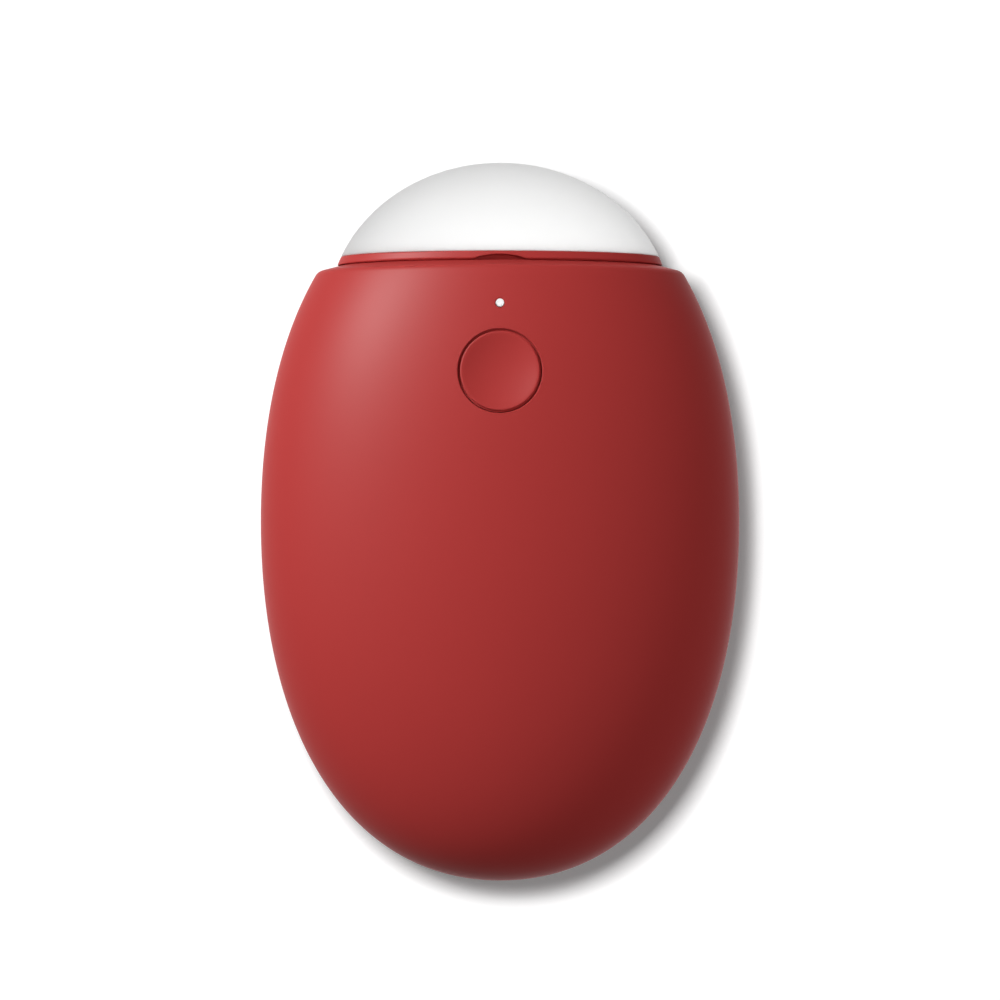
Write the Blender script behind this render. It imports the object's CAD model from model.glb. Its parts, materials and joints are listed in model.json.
"""Looks of an egg-shaped rechargeable hand warmer with a lift-off lamp cap.

Sizes are in millimetres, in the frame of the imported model: +X across the case, +Y along it towards the lamp
cap and +Z out of the button face. Meshes are in metres.
"""
import json
import logging
import math
from collections.abc import Callable, Iterator, Sequence
from contextlib import contextmanager
from dataclasses import dataclass, replace
from enum import Enum
from typing import ClassVar

import bmesh
import bpy
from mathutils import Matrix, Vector


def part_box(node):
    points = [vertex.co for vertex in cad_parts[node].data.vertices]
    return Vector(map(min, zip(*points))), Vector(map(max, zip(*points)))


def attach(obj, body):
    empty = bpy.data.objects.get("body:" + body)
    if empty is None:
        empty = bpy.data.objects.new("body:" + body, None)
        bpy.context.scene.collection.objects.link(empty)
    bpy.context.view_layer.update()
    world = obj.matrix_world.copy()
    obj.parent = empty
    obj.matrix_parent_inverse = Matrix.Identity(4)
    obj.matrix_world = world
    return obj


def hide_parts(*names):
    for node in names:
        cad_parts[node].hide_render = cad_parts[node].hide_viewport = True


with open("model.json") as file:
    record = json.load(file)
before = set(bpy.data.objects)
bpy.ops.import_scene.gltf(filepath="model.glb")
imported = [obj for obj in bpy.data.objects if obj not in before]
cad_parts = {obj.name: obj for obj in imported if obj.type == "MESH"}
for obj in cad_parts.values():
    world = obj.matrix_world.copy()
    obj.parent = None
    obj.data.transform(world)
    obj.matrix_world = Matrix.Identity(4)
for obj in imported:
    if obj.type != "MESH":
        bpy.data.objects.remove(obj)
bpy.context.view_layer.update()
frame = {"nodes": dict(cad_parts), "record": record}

LOG = logging.getLogger("hand_warmer")
MM = 0.001
ORIGIN = (0.0, 0.0, 0.0)
WELD = 0.002 * MM  # points closer than this are one point
CLOSE = 1e-9  # searches along a curve stop at this share of it
NUDGE = 1e-5  # share of a curve from which its direction is taken
DISC_START = 60.0  # discs are laid on the egg from this far in front of its middle
DISC_SIDES = 128
CUTTER_SIDES = 192
DRIFT_DETAIL = 3.0  # layers of noise in the drift of a colour
GRAIN_DETAIL = 2.0  # layers of noise in a surface grain
MIX_A, MIX_B, MIX_RESULT = 6, 7, 2  # colour sockets of a Mix node
WHITE = "#FFFFFF"
ALONG = (0.0, 1.0, 0.0)  # along the case, towards the cap
OUTWARD = (0.0, 0.0, 1.0)  # out of the button face

Piece = bpy.types.Object
Point = tuple[float, float]
Test = Callable[[Vector], bool]


class Body(Enum):
    """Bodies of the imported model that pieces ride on."""

    CASE = "case"
    BUTTON = "button"
    CAP = "cap"


class Half(Enum):
    """The two moulded halves of the case, by the side of the seam that they are on."""

    FRONT = 1
    REAR = -1


class Lit(Enum):
    """What a lamp lights: some pieces alone, or all but these."""

    ONLY = "INCLUDE"
    ALL_BUT = "EXCLUDE"


# Modelling by hand


def focus(piece: Piece) -> None:
    """Makes a piece the only selected object, and the active one.

    Args:
        piece: The piece to work on.
    """
    bpy.ops.object.select_all(action="DESELECT")
    piece.select_set(True)
    bpy.context.view_layer.objects.active = piece


@contextmanager
def editing(piece: Piece) -> Iterator[None]:
    """Opens a piece in edit mode, with all of it selected, and closes it again.

    Args:
        piece: The piece to edit.
    """
    focus(piece)
    bpy.ops.object.mode_set(mode="EDIT")
    bpy.ops.mesh.select_mode(type="VERT")
    bpy.ops.mesh.select_all(action="SELECT")
    yield
    bpy.ops.object.mode_set(mode="OBJECT")


def shift(x: float, y: float, z: float) -> None:
    """Moves what is selected in edit mode, in millimetres."""
    bpy.ops.transform.translate(value=(x * MM, y * MM, z * MM))


def extrude(x: float, y: float, z: float) -> None:
    """Extrudes what is selected in edit mode by a step in millimetres."""
    bpy.ops.mesh.extrude_region_move(TRANSFORM_OT_translate={"value": (x * MM, y * MM, z * MM)})


def flatten(share: float, z: float = 0.0) -> None:
    """Scales the depth of what is selected in edit mode about a level in millimetres."""
    bpy.ops.transform.resize(value=(1.0, 1.0, share), center_override=(0.0, 0.0, z * MM))


def trim(place: Sequence[float], facing: Sequence[float]) -> None:
    """Cuts away what is behind a plane, and closes the cut.

    Args:
        place: A point of the plane, in millimetres.
        facing: The direction that the kept side is on.
    """
    bpy.ops.mesh.bisect(
        plane_co=Vector(place) * MM, plane_no=facing, use_fill=True, clear_inner=True, threshold=WELD
    )


def select_rims(test: Test, sharpness: float = 40.0) -> None:
    """Selects sharp edges of the piece in edit mode by their place.

    Args:
        test: Says whether an edge's middle, in millimetres, is where rims are wanted.
        sharpness: Least angle in degrees between the two faces of a rim.
    """
    bpy.ops.mesh.select_mode(type="EDGE")
    bpy.ops.mesh.select_all(action="DESELECT")
    mesh = bmesh.from_edit_mesh(bpy.context.edit_object.data)
    for edge in mesh.edges:
        folded = len(edge.link_faces) == 2 and edge.calc_face_angle() > math.radians(sharpness)
        edge.select = folded and test((edge.verts[0].co + edge.verts[1].co) / 2 / MM)
    mesh.select_flush_mode()
    bmesh.update_edit_mesh(bpy.context.edit_object.data)


def select_open_edges() -> None:
    """Selects the open edges of the piece in edit mode."""
    bpy.ops.mesh.select_mode(type="EDGE")
    bpy.ops.mesh.select_all(action="DESELECT")
    bpy.ops.mesh.select_non_manifold()


def bevel_rims(width: float, test: Test, segments: int = 2) -> None:
    """Rounds sharp edges of the piece in edit mode.

    Args:
        width: Width of the round in millimetres.
        test: Says whether an edge's middle, in millimetres, is where rims are wanted.
        segments: Strips across the round.
    """
    select_rims(test)
    bpy.ops.mesh.bevel(offset=width * MM, segments=segments, affect="EDGES", clamp_overlap=False)
    bpy.ops.mesh.select_mode(type="VERT")
    bpy.ops.mesh.select_all(action="SELECT")
    bpy.ops.mesh.remove_doubles(threshold=WELD)


def drawn_line(name: str, points: Sequence[Point], level: float = 0.0) -> Piece:
    """Draws a line by shrinking a small circle to a point and extruding that from place to place.

    Args:
        name: Name of the new piece.
        points: Places in millimetres, across and along the case.
        level: Depth in millimetres at which the line lies.

    Returns:
        A piece of single edges, whose points are in the order given.
    """
    bpy.ops.object.select_all(action="DESELECT")
    bpy.ops.mesh.primitive_circle_add(vertices=3, radius=MM)
    line = bpy.context.object
    line.name = line.data.name = name
    with editing(line):
        bpy.ops.mesh.merge(type="CENTER")
        shift(points[0][0], points[0][1], level)
        for start, end in zip(points, points[1:]):
            step = ((end[0] - start[0]) * MM, (end[1] - start[1]) * MM, 0.0)
            bpy.ops.mesh.extrude_vertices_move(TRANSFORM_OT_translate={"value": step})
    return line


def mark_points(piece: Piece, group: str, indices: Sequence[int]) -> None:
    """Puts points of a piece in a named group, which a spin carries on to the points that it makes."""
    piece.vertex_groups.new(name=group).add(list(indices), 1.0, "REPLACE")


def select_group(piece: Piece, group: str) -> None:
    """Selects only the points of a named group of the piece in edit mode.

    Args:
        piece: The piece in edit mode.
        group: Name of the group.
    """
    bpy.ops.mesh.select_all(action="DESELECT")
    piece.vertex_groups.active = piece.vertex_groups[group]
    bpy.ops.object.vertex_group_select()


def spin_line(piece: Piece, steps: int, degrees: float) -> None:
    """Spins a line about the length of the case and closes it where its ends meet.

    Args:
        piece: The line, which becomes the spun skin.
        steps: Strips round the spin.
        degrees: Angle of the spin, from +X towards +Z where it is positive.
    """
    with editing(piece):
        bpy.ops.mesh.spin(steps=steps, angle=math.radians(degrees), center=ORIGIN, axis=ALONG)
        bpy.ops.mesh.select_all(action="SELECT")
        bpy.ops.mesh.remove_doubles(threshold=WELD)


def face_outwards(piece: Piece) -> None:
    """Turns the faces of a piece outwards."""
    with editing(piece):
        bpy.ops.mesh.normals_make_consistent(inside=False)


def apply_modifier(piece: Piece, kind: str, **settings: object) -> None:
    """Adds a modifier to a piece and applies it.

    Args:
        piece: The piece to change.
        kind: Blender's name of the modifier.
        settings: The modifier's own settings.
    """
    focus(piece)
    modifier = piece.modifiers.new(kind.lower(), kind)
    for key, value in settings.items():
        setattr(modifier, key, value)
    bpy.ops.object.modifier_apply(modifier=modifier.name)


def round_cutter(place: Sequence[float], radius: float, length: float) -> Piece:
    """Makes a round bar that stands out of the button face, for cutting.

    Args:
        place: Middle of the bar in millimetres.
        radius: Radius of the bar in millimetres.
        length: Length of the bar in millimetres.

    Returns:
        The bar, to be used by cut_with.
    """
    bpy.ops.object.select_all(action="DESELECT")
    bpy.ops.mesh.primitive_cylinder_add(vertices=CUTTER_SIDES, radius=radius * MM, depth=length * MM)
    bar = bpy.context.object
    with editing(bar):
        shift(*place)
    return bar


def cut_with(piece: Piece, bar: Piece) -> None:
    """Cuts a bar out of a piece and throws the bar away."""
    apply_modifier(piece, "BOOLEAN", operation="DIFFERENCE", object=bar, solver="EXACT")
    bpy.data.objects.remove(bar)


def new_disc(name: str, radius: float, y: float, form: Piece, rings: int = 0) -> Piece:
    """Lays a round disc on the front of the egg.

    Args:
        name: Name of the new piece.
        radius: Radius of the disc in millimetres.
        y: Height of its middle in millimetres.
        form: The front half without holes, about the middle of the egg.
        rings: Number of rings that the disc is divided into.

    Returns:
        The disc, which follows the curve of the egg.
    """
    bpy.ops.object.select_all(action="DESELECT")
    bpy.ops.mesh.primitive_circle_add(vertices=DISC_SIDES, radius=radius * MM, fill_type="NGON")
    disc = bpy.context.object
    disc.name = disc.data.name = name
    with editing(disc):
        bpy.ops.mesh.select_mode(type="FACE")
        for _ in range(rings - 1):
            bpy.ops.mesh.inset(thickness=radius / rings * MM)
        if rings:
            bpy.ops.mesh.poke()
        bpy.ops.mesh.select_all(action="SELECT")
        shift(0.0, y, DISC_START)
    apply_modifier(
        disc,
        "SHRINKWRAP",
        target=form,
        wrap_method="PROJECT",
        use_project_z=True,
        use_positive_direction=False,
        use_negative_direction=True,
    )
    return disc


def copy_piece(piece: Piece, name: str) -> Piece:
    """Copies a piece together with its mesh.

    Args:
        piece: The piece to copy.
        name: Name of the copy.

    Returns:
        The copy.
    """
    focus(piece)
    bpy.ops.object.duplicate(linked=False)
    copy = bpy.context.object
    copy.name = copy.data.name = name
    return copy


def join_pieces(piece: Piece, *others: Piece) -> None:
    """Makes others part of a piece.

    Args:
        piece: The piece that stays.
        others: The pieces that become part of it.
    """
    focus(piece)
    for other in others:
        other.select_set(True)
    bpy.ops.object.join()


def shade_smooth(piece: Piece, sharpness: float = 35.0) -> None:
    """Shades a piece smooth, apart from edges that fold by more than an angle in degrees."""
    focus(piece)
    bpy.ops.object.shade_smooth_by_angle(angle=math.radians(sharpness))


def bezier(poles: Sequence[Point], t: float) -> Point:
    """A point of a cubic curve.

    Args:
        poles: The four poles of the curve.
        t: Share of the way along it, from 0 to 1.

    Returns:
        The point, in the poles' own unit.
    """
    weights = ((1 - t) ** 3, 3 * t * (1 - t) ** 2, 3 * t**2 * (1 - t), t**3)
    return tuple(sum(w * pole[axis] for w, pole in zip(weights, poles)) for axis in (0, 1))


def turning_share(before: Callable[[float], bool]) -> float:
    """Finds where along a curve a test turns from true to false.

    Args:
        before: The test, which is given a share of the way.

    Returns:
        The share of the way, from 0 to 1.
    """
    low, high = 0.0, 1.0
    while high - low > CLOSE:
        share = (low + high) / 2
        low, high = (share, high) if before(share) else (low, share)
    return share


# Finishes


def linear(hex_colour: str) -> tuple[float, float, float, float]:
    """Turns an sRGB hex colour into the linear colour that shaders take."""
    shares = [int(hex_colour[place : place + 2], 16) / 255 for place in (1, 3, 5)]
    return (*[s / 12.92 if s <= 0.04045 else ((s + 0.055) / 1.055) ** 2.4 for s in shares], 1.0)


def add_node(
    tree: bpy.types.NodeTree,
    kind: str,
    settings: dict[str, object] | None = None,
    inputs: dict[str | int, object] | None = None,
) -> bpy.types.Node:
    """Adds a node with its settings and links.

    Args:
        tree: The tree that gets the node.
        kind: Blender's name of the node, without its prefix.
        settings: The node's own settings.
        inputs: A value, or the socket to link, for each input.

    Returns:
        The new node.
    """
    node = tree.nodes.new("ShaderNode" + kind)
    for key, value in (settings or {}).items():
        setattr(node, key, value)
    for key, value in (inputs or {}).items():
        if isinstance(value, bpy.types.NodeSocket):
            tree.links.new(value, node.inputs[key])
        else:
            node.inputs[key].default_value = value
    return node


def per_metre(size: float) -> float:
    """Pattern scale at which one feature is about a size in millimetres."""
    return 1.0 / (size * MM)


@dataclass(frozen=True)
class Ground:
    """What a finish is laid on: a material's nodes, its shader and the socket of places on the piece."""

    tree: bpy.types.NodeTree
    shader: bpy.types.Node
    place: bpy.types.NodeSocket


@dataclass(frozen=True)
class Finish:
    """What every finish has: a colour that drifts a little, a gloss and a fine surface grain.

    Grain and drift are sizes in millimetres. Most real grain is finer than a picture shows, so it is drawn at
    0.1 mm or more, as coarse as it needs to show.
    """

    name: str
    colour: str
    roughness: float
    ior: float = 1.5
    specular: float = 0.5
    grain: float = 0.4
    grain_depth: float = 0.004
    gloss_play: float = 0.06
    drift: float = 12.0
    drift_share: float = 0.04

    def material(self) -> bpy.types.Material:
        """Makes the material, or finds it if it is there already.

        Returns:
            The material.
        """
        known = bpy.data.materials.get(self.name)
        if known:
            return known
        made = bpy.data.materials.new(self.name)
        made.use_nodes = True
        tree = made.node_tree
        shader = tree.nodes["Principled BSDF"]
        shader.inputs["IOR"].default_value = self.ior
        shader.inputs["Specular IOR Level"].default_value = self.specular
        self.dress(Ground(tree, shader, add_node(tree, "TexCoord").outputs["Object"]))
        return made

    def dress(self, ground: Ground) -> None:
        """Links the colour, gloss and grain."""
        ground.tree.links.new(self.tone(ground), ground.shader.inputs["Base Color"])
        self.roughen(ground)

    def tone(self, ground: Ground) -> bpy.types.NodeSocket:
        """Lets the colour drift a little over the surface, as mixed and moulded stock does.

        Args:
            ground: What the finish is laid on.

        Returns:
            The socket with the colour.
        """
        base = linear(self.colour)
        inputs = {"Vector": ground.place, "Scale": per_metre(self.drift), "Detail": DRIFT_DETAIL}
        clouds = add_node(ground.tree, "TexNoise", inputs=inputs)
        low = [c * (1 - self.drift_share) for c in base[:3]] + [1.0]
        high = [c * (1 + self.drift_share) for c in base[:3]] + [1.0]
        inputs = {"Factor": clouds.outputs["Fac"], MIX_A: low, MIX_B: high}
        return add_node(ground.tree, "Mix", {"data_type": "RGBA"}, inputs).outputs[MIX_RESULT]

    def roughen(self, ground: Ground) -> None:
        """Adds the fine grain as bump, and the same grain as a slight play of gloss.

        Args:
            ground: What the finish is laid on.
        """
        tree, shader = ground.tree, ground.shader
        inputs = {"Vector": ground.place, "Scale": per_metre(self.grain), "Detail": GRAIN_DETAIL}
        grain = add_node(tree, "TexNoise", inputs=inputs)
        gloss = add_node(
            tree,
            "MapRange",
            inputs={
                "Value": grain.outputs["Fac"],
                "To Min": self.roughness * (1 - self.gloss_play),
                "To Max": self.roughness * (1 + self.gloss_play),
            },
        )
        tree.links.new(gloss.outputs["Result"], shader.inputs["Roughness"])
        bump = add_node(
            tree,
            "Bump",
            inputs={"Height": grain.outputs["Fac"], "Distance": self.grain_depth * MM, "Strength": 1.0},
        )
        tree.links.new(bump.outputs["Normal"], shader.inputs["Normal"])


@dataclass(frozen=True)
class PaintedPlastic(Finish):
    """ABS under soft-touch paint: an even, satin face with a broad, weak highlight and no mirror image."""

    specular: float = 0.06
    grain: float = 0.35
    grain_depth: float = 0.002
    drift_share: float = 0.02


@dataclass(frozen=True)
class OpalPlastic(Finish):
    """Milky acrylic: light goes in, scatters and comes out again near by, so that shade is soft."""

    depth: float = 2.0
    weight: float = 0.8

    def dress(self, ground: Ground) -> None:
        """Adds the scatter to the plain finish.

        Args:
            ground: What the finish is laid on.
        """
        super().dress(ground)
        ground.shader.inputs["Subsurface Weight"].default_value = self.weight
        ground.shader.inputs["Subsurface Radius"].default_value = (1.0, 1.0, 1.0)
        ground.shader.inputs["Subsurface Scale"].default_value = self.depth * MM


@dataclass(frozen=True)
class ClearPlastic(Finish):
    """Polished polycarbonate: clear, with the gloss of its mould."""

    clearness: float = 0.9

    def dress(self, ground: Ground) -> None:
        """Lets light through the plain finish."""
        super().dress(ground)
        ground.shader.inputs["Transmission Weight"].default_value = self.clearness


@dataclass(frozen=True)
class PlatedMetal(Finish):
    """Plated or rolled metal: lines drawn out along one direction play on the gloss."""

    stretch: tuple[float, float, float] = (1.0, 0.06, 1.0)

    def dress(self, ground: Ground) -> None:
        """Makes the finish metal, with its grain drawn out.

        Args:
            ground: What the finish is laid on.
        """
        drawn = add_node(ground.tree, "Mapping", inputs={"Vector": ground.place, "Scale": self.stretch})
        super().dress(replace(ground, place=drawn.outputs["Vector"]))
        ground.shader.inputs["Metallic"].default_value = 1.0


@dataclass(frozen=True)
class StripedFinish(Finish):
    """A sheet with fine tracks of a second colour, such as copper under solder mask or film."""

    track_colour: str = "#B87333"
    pitch: float = 1.6
    share: float = 0.35
    waver: float = 0.6

    def dress(self, ground: Ground) -> None:
        """Lays the tracks over the plain finish.

        Args:
            ground: What the finish is laid on.
        """
        tree = ground.tree
        bands = add_node(
            tree,
            "TexWave",
            {"wave_type": "BANDS", "bands_direction": "X"},
            {"Vector": ground.place, "Scale": per_metre(self.pitch) / math.tau, "Distortion": self.waver},
        )
        edge = add_node(
            tree,
            "MapRange",
            {"clamp": True},
            {"Value": bands.outputs["Fac"], "From Min": 1 - self.share, "From Max": 1 - self.share / 2},
        )
        plain, tracks = self.tone(ground), linear(self.track_colour)
        inputs = {"Factor": edge.outputs["Result"], MIX_A: plain, MIX_B: tracks}
        mix = add_node(tree, "Mix", {"data_type": "RGBA"}, inputs)
        tree.links.new(mix.outputs[MIX_RESULT], ground.shader.inputs["Base Color"])
        self.roughen(ground)


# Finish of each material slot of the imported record, with what it gives the eye
FINISHES: dict[str, Finish] = {
    # Sprayed ABS: deep red, with a broad highlight that fades softly into shade
    "case_red": PaintedPlastic("soft_touch_painted_abs", "#A13331", 0.46, drift=18.0),
    "button_red": PaintedPlastic("satin_painted_abs", "#A13331", 0.46, drift=8.0),
    # Moulded acrylic that scatters light: white, with soft shade towards its edge
    "milky": OpalPlastic(
        "moulded_opal_acrylic", "#F6F6F5", 0.4, ior=1.49, grain=0.5, grain_depth=0.002, drift_share=0.01
    ),
    "pipe_clear": OpalPlastic(
        "moulded_diffusing_acrylic", "#FBFAF8", 0.3, ior=1.49, grain_depth=0.001, depth=0.6
    ),
    # Moulded plastics and rubber: an even, dull gloss with a fine spark-eroded grain
    "deck_white": Finish("moulded_white_abs", "#EDEDEA", 0.45, grain=0.45, grain_depth=0.006),
    "frame_black": Finish("moulded_black_abs", "#202022", 0.5, grain=0.5, grain_depth=0.008),
    "silicone": Finish("moulded_silicone", "#CFCFCB", 0.6, ior=1.41, grain=0.3),
    "socket_black": Finish("moulded_liquid_crystal_polymer", "#161617", 0.5, grain=0.2),
    "switch_black": Finish("moulded_nylon", "#1A1A1B", 0.5, grain=0.3),
    "plunger_grey": Finish("moulded_acetal", "#5A5A5C", 0.4, grain=0.3),
    # Polished and clear: sharp glints and a bent view of what is behind
    "clear_plastic": ClearPlastic("polished_polycarbonate", "#F4F8FA", 0.06, ior=1.58, grain_depth=0.0005),
    # Cut foam: matt and coarse, almost black
    "foam": Finish("cut_foam_tape", "#1C1C1C", 0.9, grain=0.5, grain_depth=0.05),
    # Coated sheets: a smooth face through which the tracks below show as a slight change of colour
    "board_white": StripedFinish(
        "screened_white_solder_mask", "#EEEEE8", 0.35, track_colour="#E2E2DA", pitch=2.4
    ),
    "board_green": StripedFinish(
        "screened_green_solder_mask", "#0F4F28", 0.3, track_colour="#1F6B38", pitch=1.4
    ),
    "film_amber": StripedFinish(
        "laminated_polyimide_film", "#B5651D", 0.28, track_colour="#8A4A24", pitch=2.2, share=0.5
    ),
    # Cast gel and resin: glassy, and slightly uneven where they set
    "led_phosphor": Finish("cast_phosphor_gel", "#F0D35A", 0.25, ior=1.41, grain=0.2, grain_depth=0.01),
    "led_white": Finish("cast_white_epoxy", "#F2F2EE", 0.25),
    "sensor_black": Finish("dipped_black_epoxy", "#141415", 0.2, grain=0.4),
    # Plated and rolled metals: bright, with fine lines along the way that they were drawn
    "screw_steel": PlatedMetal("zinc_plated_steel", "#B4B6B8", 0.32, grain=0.25, grain_depth=0.002),
    "socket_steel": PlatedMetal("nickel_plated_steel", "#C9C9C8", 0.24, grain=0.2, grain_depth=0.001),
    "contact_gilt": PlatedMetal("gilt_bronze", "#E0B45C", 0.22, grain=0.15, grain_depth=0.001),
    "spreader_aluminium": PlatedMetal("rolled_aluminium", "#D3D4D6", 0.35, grain=0.5),
    # Laminated foil: bright and crinkled in all directions
    "cell_foil": PlatedMetal(
        "laminated_aluminium_foil", "#C6C9CC", 0.35, grain=1.2, grain_depth=0.03, stretch=(1.0, 1.0, 1.0)
    ),
    # Pressed and fired parts: dry and dull, apart from the glaze
    "inductor_grey": Finish("pressed_ferrite", "#35353A", 0.7, grain=0.15, grain_depth=0.01),
    "chip_black": Finish("moulded_black_epoxy", "#17181A", 0.55, grain=0.12),
    "capacitor_tan": Finish("fired_ceramic", "#A2835E", 0.5, grain=0.1),
    "cutoff_white": Finish("glazed_ceramic", "#E6E6E0", 0.25, grain=0.3),
    # Extruded wire insulation: smooth, with a long even gloss
    "lead_red": Finish("extruded_red_pvc", "#A8180F", 0.4, grain=0.3),
    "lead_black": Finish("extruded_black_pvc", "#141414", 0.4, grain=0.3),
    "lead_white": Finish("extruded_white_pvc", "#E4E4E0", 0.4, grain=0.3),
}


def dress_piece(piece: Piece, slot: str) -> None:
    """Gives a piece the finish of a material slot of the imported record.

    Args:
        piece: The piece to dress.
        slot: Name of the slot.
    """
    piece.data.materials.clear()
    piece.data.materials.append(FINISHES[slot].material())


def settle(piece: Piece, body: Body, slot: str, *nodes: str) -> None:
    """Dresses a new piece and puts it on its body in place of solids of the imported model.

    Args:
        piece: The finished piece.
        body: The body that it rides on.
        slot: The material slot that its finish comes from.
        nodes: The nodes that it stands for.
    """
    dress_piece(piece, slot)
    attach(piece, body.value)
    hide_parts(*nodes)
    LOG.info("%s: %d faces on %s", piece.name, len(piece.data.polygons), body.value)


# Sub-assemblies


@dataclass
class EggCase:
    """Two moulded halves that part along the seam, with a ledge round the lamp cap."""

    half_width: float
    half_length: float
    middle_z: float
    button_y: float
    pipe_y: float
    half_depth: float = 20.0
    fullness: float = 0.6126  # reach of the outline's poles, as a share of its half-sizes
    wall: float = 2.0
    seam_gap: float = 0.2
    ledge_y: float = 37.25
    ledge_slope: float = 14.0
    ledge_edge: float = 1.6
    ledge_wall: float = 2.2
    ledge_start: float = 23.704  # half-width at which the sloped ledge is at ledge_y
    opening: Point = (23.016, 12.885)  # half-sizes of the mouth that the cap plugs into
    button_hole: float = 5.95
    pin_hole: float = 0.64
    rim_chamfer: float = 0.12
    seam_round: float = 0.15
    lip_inset: float = 1.1
    lip_wall: float = 0.8
    lip_depth: float = 1.2
    lip_root: float = 0.6  # how far the tongue stands in the front half
    lip_top_y: float = 31.75
    lip_steps: int = 40
    edge_steps: int = 10
    outside_steps: int = 56
    inside_steps: int = 28
    spin_steps: int = 128

    @classmethod
    def from_frame(cls) -> "EggCase":
        """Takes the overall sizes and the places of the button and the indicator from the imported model.

        Returns:
            The case, with its other sizes as they are written here.
        """
        front_low, front_high = (Vector(corner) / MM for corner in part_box("front_shell"))
        rear_low = Vector(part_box("rear_shell")[0]) / MM
        pipe_low, pipe_high = (Vector(corner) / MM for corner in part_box("light_pipe"))
        button_low, button_high = (Vector(corner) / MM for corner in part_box("power_button"))
        return cls(
            half_width=round(front_high.x, 2),
            half_length=round(-front_low.y, 2),
            middle_z=round(front_high.z - cls.half_depth - rear_low.z, 2),
            button_y=round((button_low.y + button_high.y) / 2, 2),
            pipe_y=round((pipe_low.y + pipe_high.y) / 2, 2),
        )

    def low_poles(self, inset: float) -> list[Point]:
        """Poles of the outline from the bottom end up to the widest point.

        Args:
            inset: How far the outline is moved in.

        Returns:
            The four poles.
        """
        width, length = self.half_width - inset, self.half_length - inset
        full = self.fullness
        return [(0.0, -length), (full * width, -length), (width, -full * length), (width, 0.0)]

    def high_poles(self, inset: float) -> list[Point]:
        """Poles of the outline from the widest point to where the egg would have its tip."""
        return [(x, -y) for x, y in reversed(self.low_poles(inset))]

    def rise_share(self, inset: float, y: float) -> float:
        """Share of the way along the upper quarter at which the outline is at a height."""
        poles = self.high_poles(inset)
        return turning_share(lambda t: bezier(poles, t)[1] < y)

    def side_line(self, inset: float, y: float, steps: int) -> list[Point]:
        """Outline from the bottom end up to a height.

        Args:
            inset: How far the outline is moved in.
            y: Height at which it ends.
            steps: Number of pieces in each quarter.

        Returns:
            The points of the outline.
        """
        low, high = self.low_poles(inset), self.high_poles(inset)
        end = self.rise_share(inset, y)
        line = [bezier(low, step / steps) for step in range(steps)]
        return line + [bezier(high, end * step / steps) for step in range(steps + 1)]

    def edge_centre(self, t: float) -> tuple[Vector, Vector]:
        """Centre of a round that lies in the egg and touches its outline.

        Args:
            t: Share of the way along the upper quarter at which they touch.

        Returns:
            The centre, and the direction from there to the outline.
        """
        poles = self.high_poles(0.0)
        before, touch = Vector(bezier(poles, t - NUDGE)), Vector(bezier(poles, t))
        along = (touch - before).normalized()
        outward = Vector((along.y, -along.x))
        return touch - outward * self.ledge_edge, outward

    def edge_round(self) -> list[Point]:
        """Round between the side of the egg and the ledge.

        Returns:
            The points of the round, from the side to the ledge.
        """
        slope = math.radians(self.ledge_slope)
        upward = Vector((math.sin(slope), math.cos(slope)))
        on_ledge = Vector((self.ledge_start, self.ledge_y))
        touch = turning_share(lambda t: (on_ledge - self.edge_centre(t)[0]).dot(upward) > self.ledge_edge)
        centre, outward = self.edge_centre(touch)
        start, end = math.atan2(outward.y, outward.x), math.atan2(upward.y, upward.x)
        steps = self.edge_steps
        angles = [start + (end - start) * step / steps for step in range(steps + 1)]
        return [tuple(centre + self.ledge_edge * Vector((math.cos(a), math.sin(a)))) for a in angles]

    def section(self) -> dict[str, list[Point]]:
        """Section of the wall, from the outside of the bottom end over the ledge to the inside.

        Returns:
            The points on the outside, round the mouth and on the inside, in the order of the section.
        """
        corner = self.edge_round()
        mouth_x = self.opening[0]
        mouth_y = self.ledge_y + math.tan(math.radians(self.ledge_slope)) * (self.ledge_start - mouth_x)
        under_y = self.ledge_y - self.ledge_wall
        edge = self.rim_chamfer
        return {
            "outside": self.side_line(0.0, corner[0][1], self.outside_steps)[:-1] + corner,
            "mouth": [(mouth_x + edge, mouth_y), (mouth_x, mouth_y - edge), (mouth_x, under_y)],
            "inside": self.side_line(self.wall, under_y, self.inside_steps)[::-1],
        }

    def half_shell(self, name: str, half: Half) -> Piece:
        """Spins the section into one thick half, before its holes are cut.

        Args:
            name: Name of the new piece.
            half: Which half is made.

        Returns:
            The half, with its seam face closed.
        """
        section = self.section()
        shell = drawn_line(name, sum(section.values(), []))
        first = 0
        for group, points in section.items():
            mark_points(shell, group, range(first, first + len(points)))
            first += len(points)
        spin_line(shell, self.spin_steps, 180.0 * half.value)
        depth = self.half_depth - self.seam_gap / 2
        shares = {
            "outside": depth / self.half_width,
            "mouth": self.opening[1] / self.opening[0],
            "inside": (depth - self.wall) / (self.half_width - self.wall),
        }
        with editing(shell):
            for group, share in shares.items():
                select_group(shell, group)
                flatten(share)
            bpy.ops.mesh.select_all(action="SELECT")
            shift(0.0, 0.0, half.value * self.seam_gap / 2)
            select_open_edges()
            bpy.ops.mesh.edge_face_add()
        face_outwards(shell)
        return shell

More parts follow.
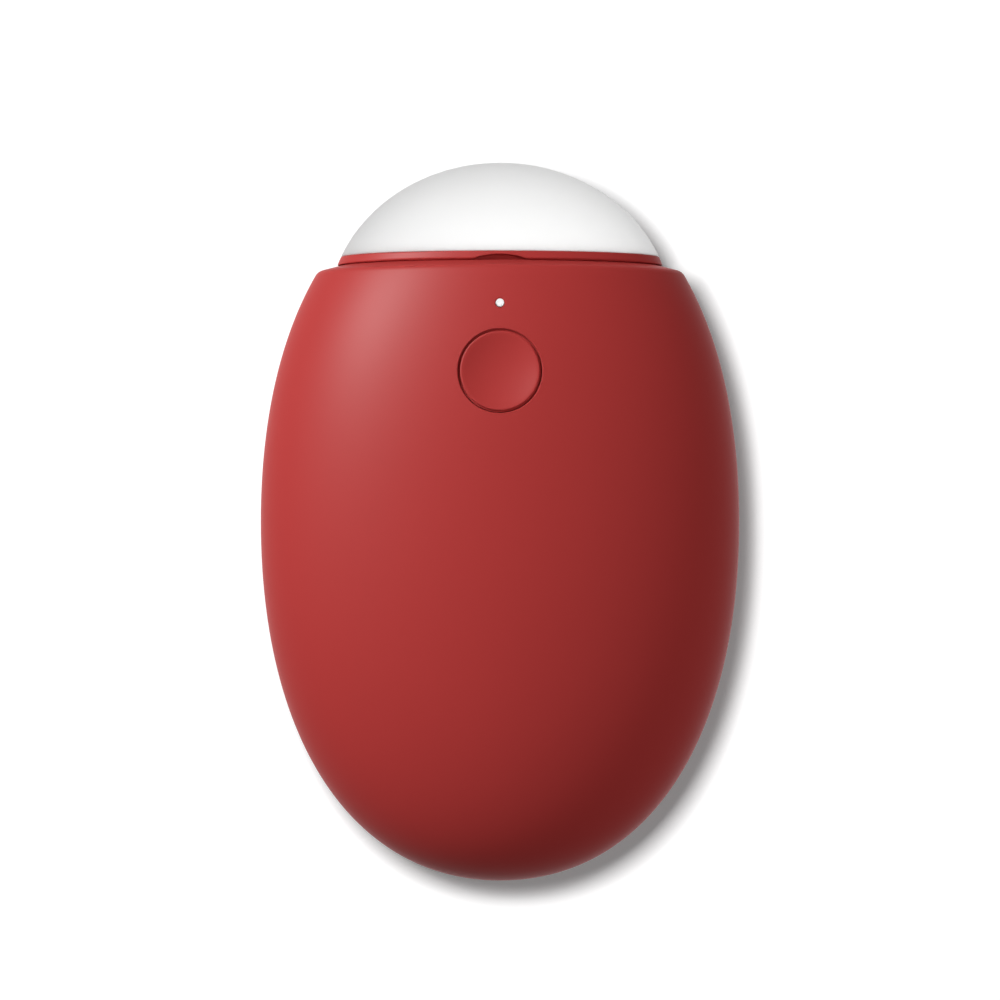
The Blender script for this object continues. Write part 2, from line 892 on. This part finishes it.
    def cut_hole(self, shell: Piece, form: Piece, y: float, radius: float) -> None:
        """Cuts a round hole whose rim is chamfered evenly along the curved face.

        Args:
            shell: The front half.
            form: The front half without holes.
            y: Height of the hole's middle.
            radius: Radius of the hole.
        """
        edge = self.rim_chamfer
        bar = new_disc("hole_cutter", radius + 2 * edge, y, form)
        with editing(bar):
            shift(0.0, 0.0, edge)
            bpy.ops.mesh.select_mode(type="FACE")
            bpy.ops.mesh.inset(thickness=2 * edge * MM, depth=-2 * edge * MM)
            extrude(0.0, 0.0, -self.half_depth)
            select_open_edges()
            extrude(0.0, 0.0, self.half_depth)
            bpy.ops.mesh.edge_face_add()
        face_outwards(bar)
        cut_with(shell, bar)

    def seam_lip(self) -> Piece:
        """Makes the tongue of the front half that reaches behind the seam.

        Returns:
            The tongue, about the middle of the egg.
        """
        right = self.side_line(self.lip_inset, self.lip_top_y, self.lip_steps)
        left = [(-x, y) for x, y in right[1:]]
        lip = drawn_line("seam_lip", right[::-1] + left, -self.lip_depth)
        with editing(lip):
            extrude(0.0, 0.0, self.lip_depth + self.lip_root)
        face_outwards(lip)
        apply_modifier(lip, "SOLIDIFY", thickness=self.lip_wall * MM, offset=-1.0, use_even_offset=True)
        return lip

    def build_front(self, form: Piece) -> Piece:
        """Makes the half with the button hole, the indicator's pin-hole and the tongue of the seam.

        Args:
            form: The front half without holes.

        Returns:
            The finished half.
        """
        shell = copy_piece(form, "front_case_half")
        self.cut_hole(shell, form, self.button_y, self.button_hole)
        self.cut_hole(shell, form, self.pipe_y, self.pin_hole)
        self.round_seam(shell)
        join_pieces(shell, self.seam_lip())
        self.place_half(shell)
        return shell

    def build_rear(self) -> Piece:
        """Makes the half with the flat that the case rests on.

        Returns:
            The finished half.
        """
        shell = self.half_shell("rear_case_half", Half.REAR)
        self.round_seam(shell)
        with editing(shell):
            trim((0.0, 0.0, -self.middle_z), OUTWARD)
            bpy.ops.mesh.mark_sharp()  # the flat keeps a crisp edge where it meets the egg at a low angle
        self.place_half(shell)
        return shell

    def round_seam(self, shell: Piece) -> None:
        """Rounds the edges of the seam face, as mould edges are."""
        with editing(shell):
            bevel_rims(self.seam_round, lambda place: abs(place.z) < self.seam_gap)

    def place_half(self, shell: Piece) -> None:
        """Lifts a half to its place and shades it.

        Args:
            shell: The half, about the middle of the egg.
        """
        with editing(shell):
            shift(0.0, 0.0, self.middle_z)
        face_outwards(shell)
        shade_smooth(shell)

    def dress(self, front: Piece, rear: Piece) -> None:
        """Paints both halves and puts them on the case."""
        settle(front, Body.CASE, "case_red", "front_shell")
        settle(rear, Body.CASE, "case_red", "rear_shell")


@dataclass
class LampCap:
    """Milky dome on a collar whose skirt plugs into the ledge."""

    middle_z: float
    top_y: float
    half_width: float = 25.183
    half_depth: float = 14.379
    rise: float = 22.3  # from the widest part of the dome's ellipsoid to its top
    wall: float = 1.5
    collar_low_y: float = 37.45
    collar_high_y: float = 38.7
    skirt_low_y: float = 35.3
    skirt: Point = (22.766, 12.635)  # half-sizes
    skirt_wall: float = 1.7
    weld_line: float = 0.03  # between the collar and the dome
    notch_width: float = 8.3
    notch_height: float = 0.76
    notch_depth: float = 1.4
    rim_round: float = 0.12
    dome_steps: int = 56
    ring_steps: int = 6
    spin_steps: int = 192

    @classmethod
    def from_frame(cls, middle_z: float) -> "LampCap":
        """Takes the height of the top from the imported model."""
        return cls(middle_z=middle_z, top_y=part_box("lamp_dome")[1][1] / MM)

    def half_widths(self, y: float) -> Point:
        """Half-width and half-depth of the dome's ellipsoid at a height."""
        share = math.sqrt(1 - ((y - self.top_y + self.rise) / self.rise) ** 2)
        return self.half_width * share, self.half_depth * share

    def dome_line(self, low_y: float, high_y: float, steps: int) -> list[Point]:
        """Outline of the ellipsoid between two heights.

        Args:
            low_y: Lower height.
            high_y: Upper height.
            steps: Number of pieces in the outline.

        Returns:
            The points of the outline, from below.
        """
        centre = self.top_y - self.rise
        low, high = (math.asin((y - centre) / self.rise) for y in (low_y, high_y))
        angles = [low + (high - low) * step / steps for step in range(steps + 1)]
        return [(self.half_width * math.cos(a), centre + self.rise * math.sin(a)) for a in angles]

    def build_dome(self) -> Piece:
        """Spins the dome, gives it its wall and trims its foot.

        Returns:
            The finished dome.
        """
        dome = drawn_line("milky_dome", self.dome_line(self.collar_low_y, self.top_y, self.dome_steps))
        spin_line(dome, self.spin_steps, 360.0)
        with editing(dome):
            flatten(self.half_depth / self.half_width)
        face_outwards(dome)
        apply_modifier(dome, "SOLIDIFY", thickness=self.wall * MM, offset=-1.0, use_even_offset=True)
        with editing(dome):
            trim((0.0, self.collar_high_y + self.weld_line, 0.0), ALONG)
            bevel_rims(self.rim_round, lambda place: place.y < self.collar_high_y + 2 * self.weld_line)
            shift(0.0, 0.0, self.middle_z)
        shade_smooth(dome)
        return dome

    def build_collar(self) -> Piece:
        """Spins the collar with its skirt and cuts the nail notch.

        Returns:
            The finished collar.
        """
        skirt = self.skirt
        bore = (skirt[0] - self.skirt_wall, skirt[1] - self.skirt_wall)
        skirt_line = [(skirt[0], self.skirt_low_y), (skirt[0], self.collar_low_y)]
        ring_line = self.dome_line(self.collar_low_y, self.collar_high_y, self.ring_steps)
        bore_line = [(bore[0], self.collar_high_y), (bore[0], self.skirt_low_y)]
        points = [*skirt_line, *ring_line, *bore_line, skirt_line[0]]
        collar = drawn_line("cap_collar_ring", points)
        last = len(points) - 1
        mark_points(collar, "skirt", [0, 1, last])
        mark_points(collar, "ring", range(2, last - 2))
        mark_points(collar, "bore", [last - 2, last - 1])
        spin_line(collar, self.spin_steps, 360.0)
        ovals = {"skirt": skirt, "ring": self.half_widths(self.collar_low_y), "bore": bore}
        with editing(collar):
            for group, (width, depth) in ovals.items():
                select_group(collar, group)
                flatten(depth / width)
        face_outwards(collar)
        self.cut_notch(collar)
        with editing(collar):
            bevel_rims(self.rim_round, lambda place: place.y > self.collar_low_y - self.weld_line)
            shift(0.0, 0.0, self.middle_z)
        face_outwards(collar)
        shade_smooth(collar)
        return collar

    def cut_notch(self, collar: Piece) -> None:
        """Cuts an arch for a finger nail into the collar's lower edge, and leaves the skirt below it whole.

        Args:
            collar: The collar, about the middle of the egg.
        """
        arch = (self.notch_width**2 / 4 + self.notch_height**2) / (2 * self.notch_height)
        arch_y = self.collar_low_y + self.notch_height - arch
        face_z = self.half_widths(self.collar_low_y)[1]
        notch_z = face_z - self.notch_depth + self.half_depth / 2
        notch = round_cutter((0.0, arch_y, notch_z), arch, self.half_depth)
        with editing(notch):
            trim((0.0, self.collar_low_y - self.weld_line, 0.0), ALONG)
        cut_with(collar, notch)

    def dress(self, dome: Piece, collar: Piece) -> None:
        """Finishes the dome and the collar and puts both on the cap."""
        settle(dome, Body.CAP, "milky", "lamp_dome")
        settle(collar, Body.CAP, "case_red", "cap_collar")


@dataclass
class PressButton:
    """Round button that is flush with the egg and dished for a finger tip."""

    centre_y: float
    middle_z: float
    radius: float = 5.65
    sink: float = 0.05  # below the face of the egg
    dish_radius: float = 5.45
    dish_depth: float = 0.95
    shoulder_drop: float = 0.45  # the shoulder closes the ring round the button to view
    shoulder_radius: float = 5.88
    depth: float = 3.0
    rim_round: float = 0.18
    rim_strips: int = 4
    rings: int = 18

    def build(self, form: Piece) -> Piece:
        """Lays a disc of rings on the egg, dishes it and extrudes its side with a shoulder.

        Args:
            form: The front half without holes, about the middle of the egg.

        Returns:
            The finished button.
        """
        button = new_disc("dished_button", self.radius, self.centre_y, form, self.rings)
        self.dish(button)
        low = min(point.co.z for point in button.data.vertices) / MM - self.depth
        middle = (0.0, self.centre_y * MM, 0.0)
        spread = self.shoulder_radius / self.radius
        with editing(button):
            shift(0.0, 0.0, -self.sink)
            select_open_edges()
            extrude(0.0, 0.0, -self.shoulder_drop)
            bevel_rims(self.rim_round, lambda place: True, self.rim_strips)
            select_open_edges()
            extrude(0.0, 0.0, 0.0)
            bpy.ops.transform.resize(value=(spread, spread, 1.0), center_override=middle)
            extrude(0.0, 0.0, -self.depth)
            flatten(0.0, low)
            bpy.ops.mesh.edge_face_add()
            bpy.ops.mesh.select_all(action="SELECT")
            shift(0.0, 0.0, self.middle_z)
        face_outwards(button)
        shade_smooth(button)
        return button

    def dish(self, button: Piece) -> None:
        """Presses the dish into the face, deepest at its middle.

        Args:
            button: The disc that becomes the button.
        """
        group = button.vertex_groups.new(name="dish")
        for point in button.data.vertices:
            x, y = point.co.x / MM, point.co.y / MM - self.centre_y
            share = 1 - (x**2 + y**2) / self.dish_radius**2
            if share > 0:
                group.add([point.index], share, "REPLACE")
        apply_modifier(
            button,
            "DISPLACE",
            direction="Z",
            strength=-self.dish_depth * MM,
            mid_level=0.0,
            vertex_group="dish",
        )

    def dress(self, button: Piece) -> None:
        """Paints the button and puts it on its body."""
        settle(button, Body.BUTTON, "button_red", "power_button")


def dress_nodes() -> None:
    """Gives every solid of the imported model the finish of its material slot."""
    for subpart in frame["record"]["subparts"]:
        dress_piece(frame["nodes"][subpart["node"]], subpart["material_slot"])
    LOG.info("dressed %d solids of the packed model", len(frame["nodes"]))


# Studio


@dataclass(frozen=True)
class Softbox:
    """An oblong lamp that faces the middle of the object.

    A glint lamp shows in the gloss of a surface alone, and the others in all but its gloss. An even lamp
    doesn't fade with distance. Distances and sizes are in metres.
    """

    name: str
    direction: tuple[float, float, float]
    distance: float
    size: Point
    level: float
    glint: bool = False
    even: bool = False

    def build(self, target: Vector) -> bpy.types.Object:
        """Adds the lamp.

        Args:
            target: The point that it faces, in metres.

        Returns:
            The lamp.
        """
        towards = Vector(self.direction).normalized()
        lamp = bpy.data.lights.new(self.name, "AREA")
        lamp.shape = "RECTANGLE"
        lamp.size, lamp.size_y = self.size
        # A white surface that faces the lamp then renders at its level; an even one lights as from a metre
        reach = 1.0 if self.even else self.distance
        lamp.energy = self.level * (math.pi * reach) ** 2
        if self.even:
            lamp.use_nodes = True
            falloff = add_node(lamp.node_tree, "LightFalloff", inputs={"Strength": 1.0})
            strength = lamp.node_tree.nodes["Emission"].inputs["Strength"]
            lamp.node_tree.links.new(falloff.outputs["Constant"], strength)
        holder = bpy.data.objects.new(self.name, lamp)
        bpy.context.scene.collection.objects.link(holder)
        holder.location = target + towards * self.distance
        holder.rotation_euler = towards.to_track_quat("Z", "Y").to_euler()
        holder.visible_glossy = self.glint
        holder.visible_diffuse = not self.glint
        return holder


@dataclass
class Studio:
    """White floor, soft lamps and a camera straight above the object.

    The case, the dome and the floor have lamps of their own, so that each is lit at its own plain level.
    """

    middle_z: float
    camera_y: float = 3.15
    camera_distance: float = 490.0
    lens: float = 120.46
    sensor: float = 36.0
    floor_radius: float = 140.0
    floor_sides: int = 96
    floor_drop: float = 0.02
    paper: str = "#F0F0F0"
    paper_glow: float = 0.2
    unseen_paper: str = "#808080"
    ambient: float = 0.035

    CASE_LAMPS: ClassVar[tuple[Softbox, ...]] = (
        Softbox("key_softbox", (-0.64, 0.54, 0.55), 0.6, (0.24, 0.12), 0.89),
        Softbox("side_softbox", (-0.92, 0.18, 0.36), 0.7, (0.40, 0.30), 0.44),
        Softbox("fill_softbox", (0.55, 0.05, 0.83), 0.8, (0.40, 0.40), 0.435),
        Softbox("glint_softbox", (-0.64, 0.55, 0.54), 0.6, (0.26, 0.10), 4.4, glint=True),
    )
    DOME_LAMP: ClassVar[Softbox] = Softbox("dome_softbox", (0.0, 0.0, 1.0), 0.7, (2.5, 2.5), 6.1)
    FLOOR_LAMP: ClassVar[Softbox] = Softbox(
        "floor_softbox", (-0.1, 0.1, 1.0), 0.37, (0.06, 0.06), 1.08, even=True
    )

    def build(self, dome: Piece) -> None:
        """Adds the floor, the lamps, the surroundings and the camera.

        Args:
            dome: The milky dome, which has a lamp of its own.
        """
        target = Vector((0.0, 0.0, self.middle_z * MM))
        floor = self.floor()
        for softbox in self.CASE_LAMPS:
            self.link(softbox.build(target), Lit.ALL_BUT, floor, dome)
        self.link(self.DOME_LAMP.build(target), Lit.ONLY, dome)
        self.link(self.FLOOR_LAMP.build(target), Lit.ONLY, floor)
        self.surroundings()
        self.camera()

    def link(self, lamp: bpy.types.Object, lit: Lit, *pieces: Piece) -> None:
        """Lets a lamp light either some pieces alone or all but these.

        Args:
            lamp: The lamp.
            lit: Whether it lights these alone or all but these.
            pieces: The pieces.
        """
        receivers = bpy.data.collections.new(lamp.name + "_receivers")
        for piece in pieces:
            receivers.objects.link(piece)
        for entry in receivers.collection_objects:
            entry.light_linking.link_state = lit.value
        lamp.light_linking.receiver_collection = receivers

    def floor(self) -> Piece:
        """Adds the white floor, which shows the object's shadow.

        Returns:
            The floor.
        """
        bpy.ops.object.select_all(action="DESELECT")
        bpy.ops.mesh.primitive_circle_add(
            vertices=self.floor_sides,
            radius=self.floor_radius * MM,
            fill_type="NGON",
            location=(0.0, 0.0, -self.floor_drop * MM),
        )
        floor = bpy.context.object
        floor.name = floor.data.name = "studio_floor"
        # Matt paper: white without gloss, with a shadow that stays light, and dim as a source of light
        made = bpy.data.materials.new("white_studio_paper")
        made.use_nodes = True
        tree = made.node_tree
        tree.nodes.clear()
        seen = self.seen_rays(tree)
        paper = add_node(tree, "BsdfDiffuse", inputs={"Color": linear(self.paper)})
        glow = add_node(tree, "Emission", inputs={"Color": linear(WHITE), "Strength": self.paper_glow})
        lit = add_node(tree, "AddShader", inputs={0: paper.outputs[0], 1: glow.outputs[0]})
        dim = add_node(tree, "BsdfDiffuse", inputs={"Color": linear(self.unseen_paper)})
        mix = add_node(tree, "MixShader", inputs={0: seen, 1: dim.outputs[0], 2: lit.outputs[0]})
        add_node(tree, "OutputMaterial", inputs={"Surface": mix.outputs[0]})
        floor.data.materials.append(made)
        return floor

    def seen_rays(self, tree: bpy.types.NodeTree) -> bpy.types.NodeSocket:
        """Adds a test for rays that show the backdrop: to the camera, in gloss and through clear plastic.

        Args:
            tree: The tree that gets the test.

        Returns:
            A socket that is 1 for such rays.
        """
        path = add_node(tree, "LightPath")
        settings = {"operation": "MAXIMUM"}
        rays = [path.outputs[f"Is {kind} Ray"] for kind in ("Camera", "Glossy", "Transmission")]
        first = add_node(tree, "Math", settings, {0: rays[0], 1: rays[1]})
        return add_node(tree, "Math", settings, {0: first.outputs[0], 1: rays[2]}).outputs[0]

    def surroundings(self) -> None:
        """Makes the surroundings white to look at and dim as a source of light."""
        world = bpy.data.worlds.new("studio_surroundings")
        world.use_nodes = True
        tree = world.node_tree
        tree.nodes.clear()
        seen = self.seen_rays(tree)
        strength = add_node(tree, "MapRange", inputs={"Value": seen, "To Min": self.ambient, "To Max": 1.0})
        inputs = {"Color": linear(WHITE), "Strength": strength.outputs["Result"]}
        glow = add_node(tree, "Background", inputs=inputs)
        add_node(tree, "OutputWorld", inputs={"Surface": glow.outputs[0]})
        bpy.context.scene.world = world

    def camera(self) -> None:
        """Adds the camera, which looks straight down on the button face."""
        data = bpy.data.cameras.new("camera")
        data.lens = self.lens
        data.sensor_width = self.sensor
        holder = bpy.data.objects.new("camera", data)
        bpy.context.scene.collection.objects.link(holder)
        holder.location = (0.0, self.camera_y * MM, (self.middle_z + self.camera_distance) * MM)
        bpy.context.scene.camera = holder


def main() -> None:
    """Builds and dresses the object, sub-assembly by sub-assembly, and then the studio."""
    logging.basicConfig(level=logging.INFO, format="%(message)s")
    bpy.context.scene.view_settings.view_transform = "Standard"
    dress_nodes()
    case = EggCase.from_frame()
    form = case.half_shell("egg_form", Half.FRONT)
    case.dress(case.build_front(form), case.build_rear())
    button = PressButton(case.button_y, case.middle_z)
    button.dress(button.build(form))
    bpy.data.objects.remove(form)
    cap = LampCap.from_frame(case.middle_z)
    dome = cap.build_dome()
    cap.dress(dome, cap.build_collar())
    Studio(case.middle_z).build(dome)


if __name__ == "__main__":
    main()
